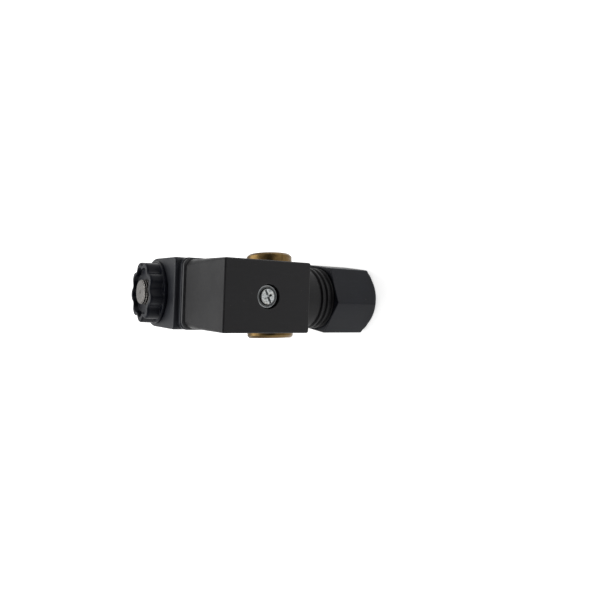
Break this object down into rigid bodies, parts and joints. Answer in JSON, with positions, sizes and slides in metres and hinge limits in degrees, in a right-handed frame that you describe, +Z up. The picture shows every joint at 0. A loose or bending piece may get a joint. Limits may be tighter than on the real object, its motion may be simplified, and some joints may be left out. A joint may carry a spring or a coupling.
{
  "type": "solenoid valve",
  "caption": "Brass in-line solenoid valve with threaded ports, encapsulated coil, lobed retaining knob and square plug-in cable connector with a hexagon gland nut.",
  "frame": {"origin": "centre of the flat underside of the brass body, under the armature tube's axis", "axes": "+Z up the armature tube to the knob, +X through the outlet port, connector towards -Y"},
  "size_m": [0.04, 0.0758, 0.0882],
  "materials": {
    "brass": "machined forging, dull",
    "tube_steel": "drawn stainless",
    "core_steel": "turned",
    "copper": "copper, enamelled where it is wire",
    "spring_steel": "drawn wire",
    "coil_plastic": "glass-filled moulding, satin",
    "housing_plastic": "fine matt moulding",
    "gland_plastic": "satin moulding",
    "knob_plastic": "satin moulding",
    "insert_plastic": "plain moulding",
    "rubber_seal": "moulded rubber",
    "contact_metal": "tinned",
    "zinc": "zinc plated"
  },
  "bodies": {
    "valve": {"valve_body": "brass", "tube_base": "brass", "base_o_ring": "rubber_seal", "armature_tube": "tube_steel", "fixed_core": "core_steel", "shading_ring": "copper", "return_spring": "spring_steel", "coil_seal": "rubber_seal"},
    "armature": {"plunger": "core_steel", "plunger_seal": "rubber_seal"},
    "coil": {"coil_shell": "coil_plastic", "yoke_frame": "core_steel", "coil_bobbin": "insert_plastic", "coil_winding": "copper", "line_blade": "contact_metal", "neutral_blade": "contact_metal", "earth_blade": "contact_metal", "connector_gasket": "rubber_seal"},
    "connector": {"connector_housing": "housing_plastic", "terminal_insert": "insert_plastic", "line_socket": "contact_metal", "neutral_socket": "contact_metal", "earth_socket": "contact_metal", "clamp_screws": "zinc"},
    "screw_seat": {"screw_washer": "zinc"},
    "screw": {"connector_screw": "zinc"},
    "gland_stack": {"gland_washer": "contact_metal", "gland_grommet": "rubber_seal"},
    "gland": {"gland_nut": "gland_plastic"},
    "knob_seat": {"knob_seal": "rubber_seal"},
    "knob": {"coil_knob": "knob_plastic"}
  },
  "joints": [
    {"name": "plunger_stroke", "type": "slide", "parent": "valve", "child": "armature", "axis": [0, 0, 1], "range_m": [0, 0.002], "stiffness_N_per_m": 500, "springref_m": -0.004, "deforming": ["return_spring"]},
    {"name": "coil_swivel", "type": "hinge", "parent": "valve", "child": "coil", "pos_m": [0, 0, 0.048], "axis": [0, 0, 1], "range_deg": [-34.4, 45.6]},
    {"name": "connector_pull", "type": "slide", "parent": "coil", "child": "connector", "axis": [-0.0976, -0.9952, 0], "range_m": [0, 0.016]},
    {"name": "screw_back_out", "type": "slide", "parent": "connector", "child": "screw_seat", "axis": [-0.0976, -0.9952, 0], "range_m": [0, 0.003]},
    {"name": "screw_turn", "type": "hinge", "parent": "screw_seat", "child": "screw", "pos_m": [-0.00488, -0.04976, 0.0465], "axis": [-0.0976, -0.9952, 0], "range_deg": [0, 2161]},
    {"name": "gland_slide", "type": "slide", "parent": "connector", "child": "gland_stack", "axis": [0, 0, -1], "range_m": [0, 0.012]},
    {"name": "gland_turn", "type": "hinge", "parent": "gland_stack", "child": "gland", "pos_m": [-0.00356, -0.03633, 0], "axis": [0, 0, -1], "range_deg": [0, 2161]},
    {"name": "knob_lift", "type": "slide", "parent": "valve", "child": "knob_seat", "axis": [0, 0, 1], "range_m": [0, 0.006]},
    {"name": "knob_turn", "type": "hinge", "parent": "knob_seat", "child": "knob", "pos_m": [0, 0, 0.072], "axis": [0, 0, 1], "range_deg": [0, 2161]}
  ],
  "couplings": [
    {"joint": "screw_turn", "follows": "screw_back_out", "rad_per_m": 12566},
    {"joint": "gland_turn", "follows": "gland_slide", "rad_per_m": 3141.6},
    {"joint": "knob_turn", "follows": "knob_lift", "rad_per_m": 6283.2}
  ]
}
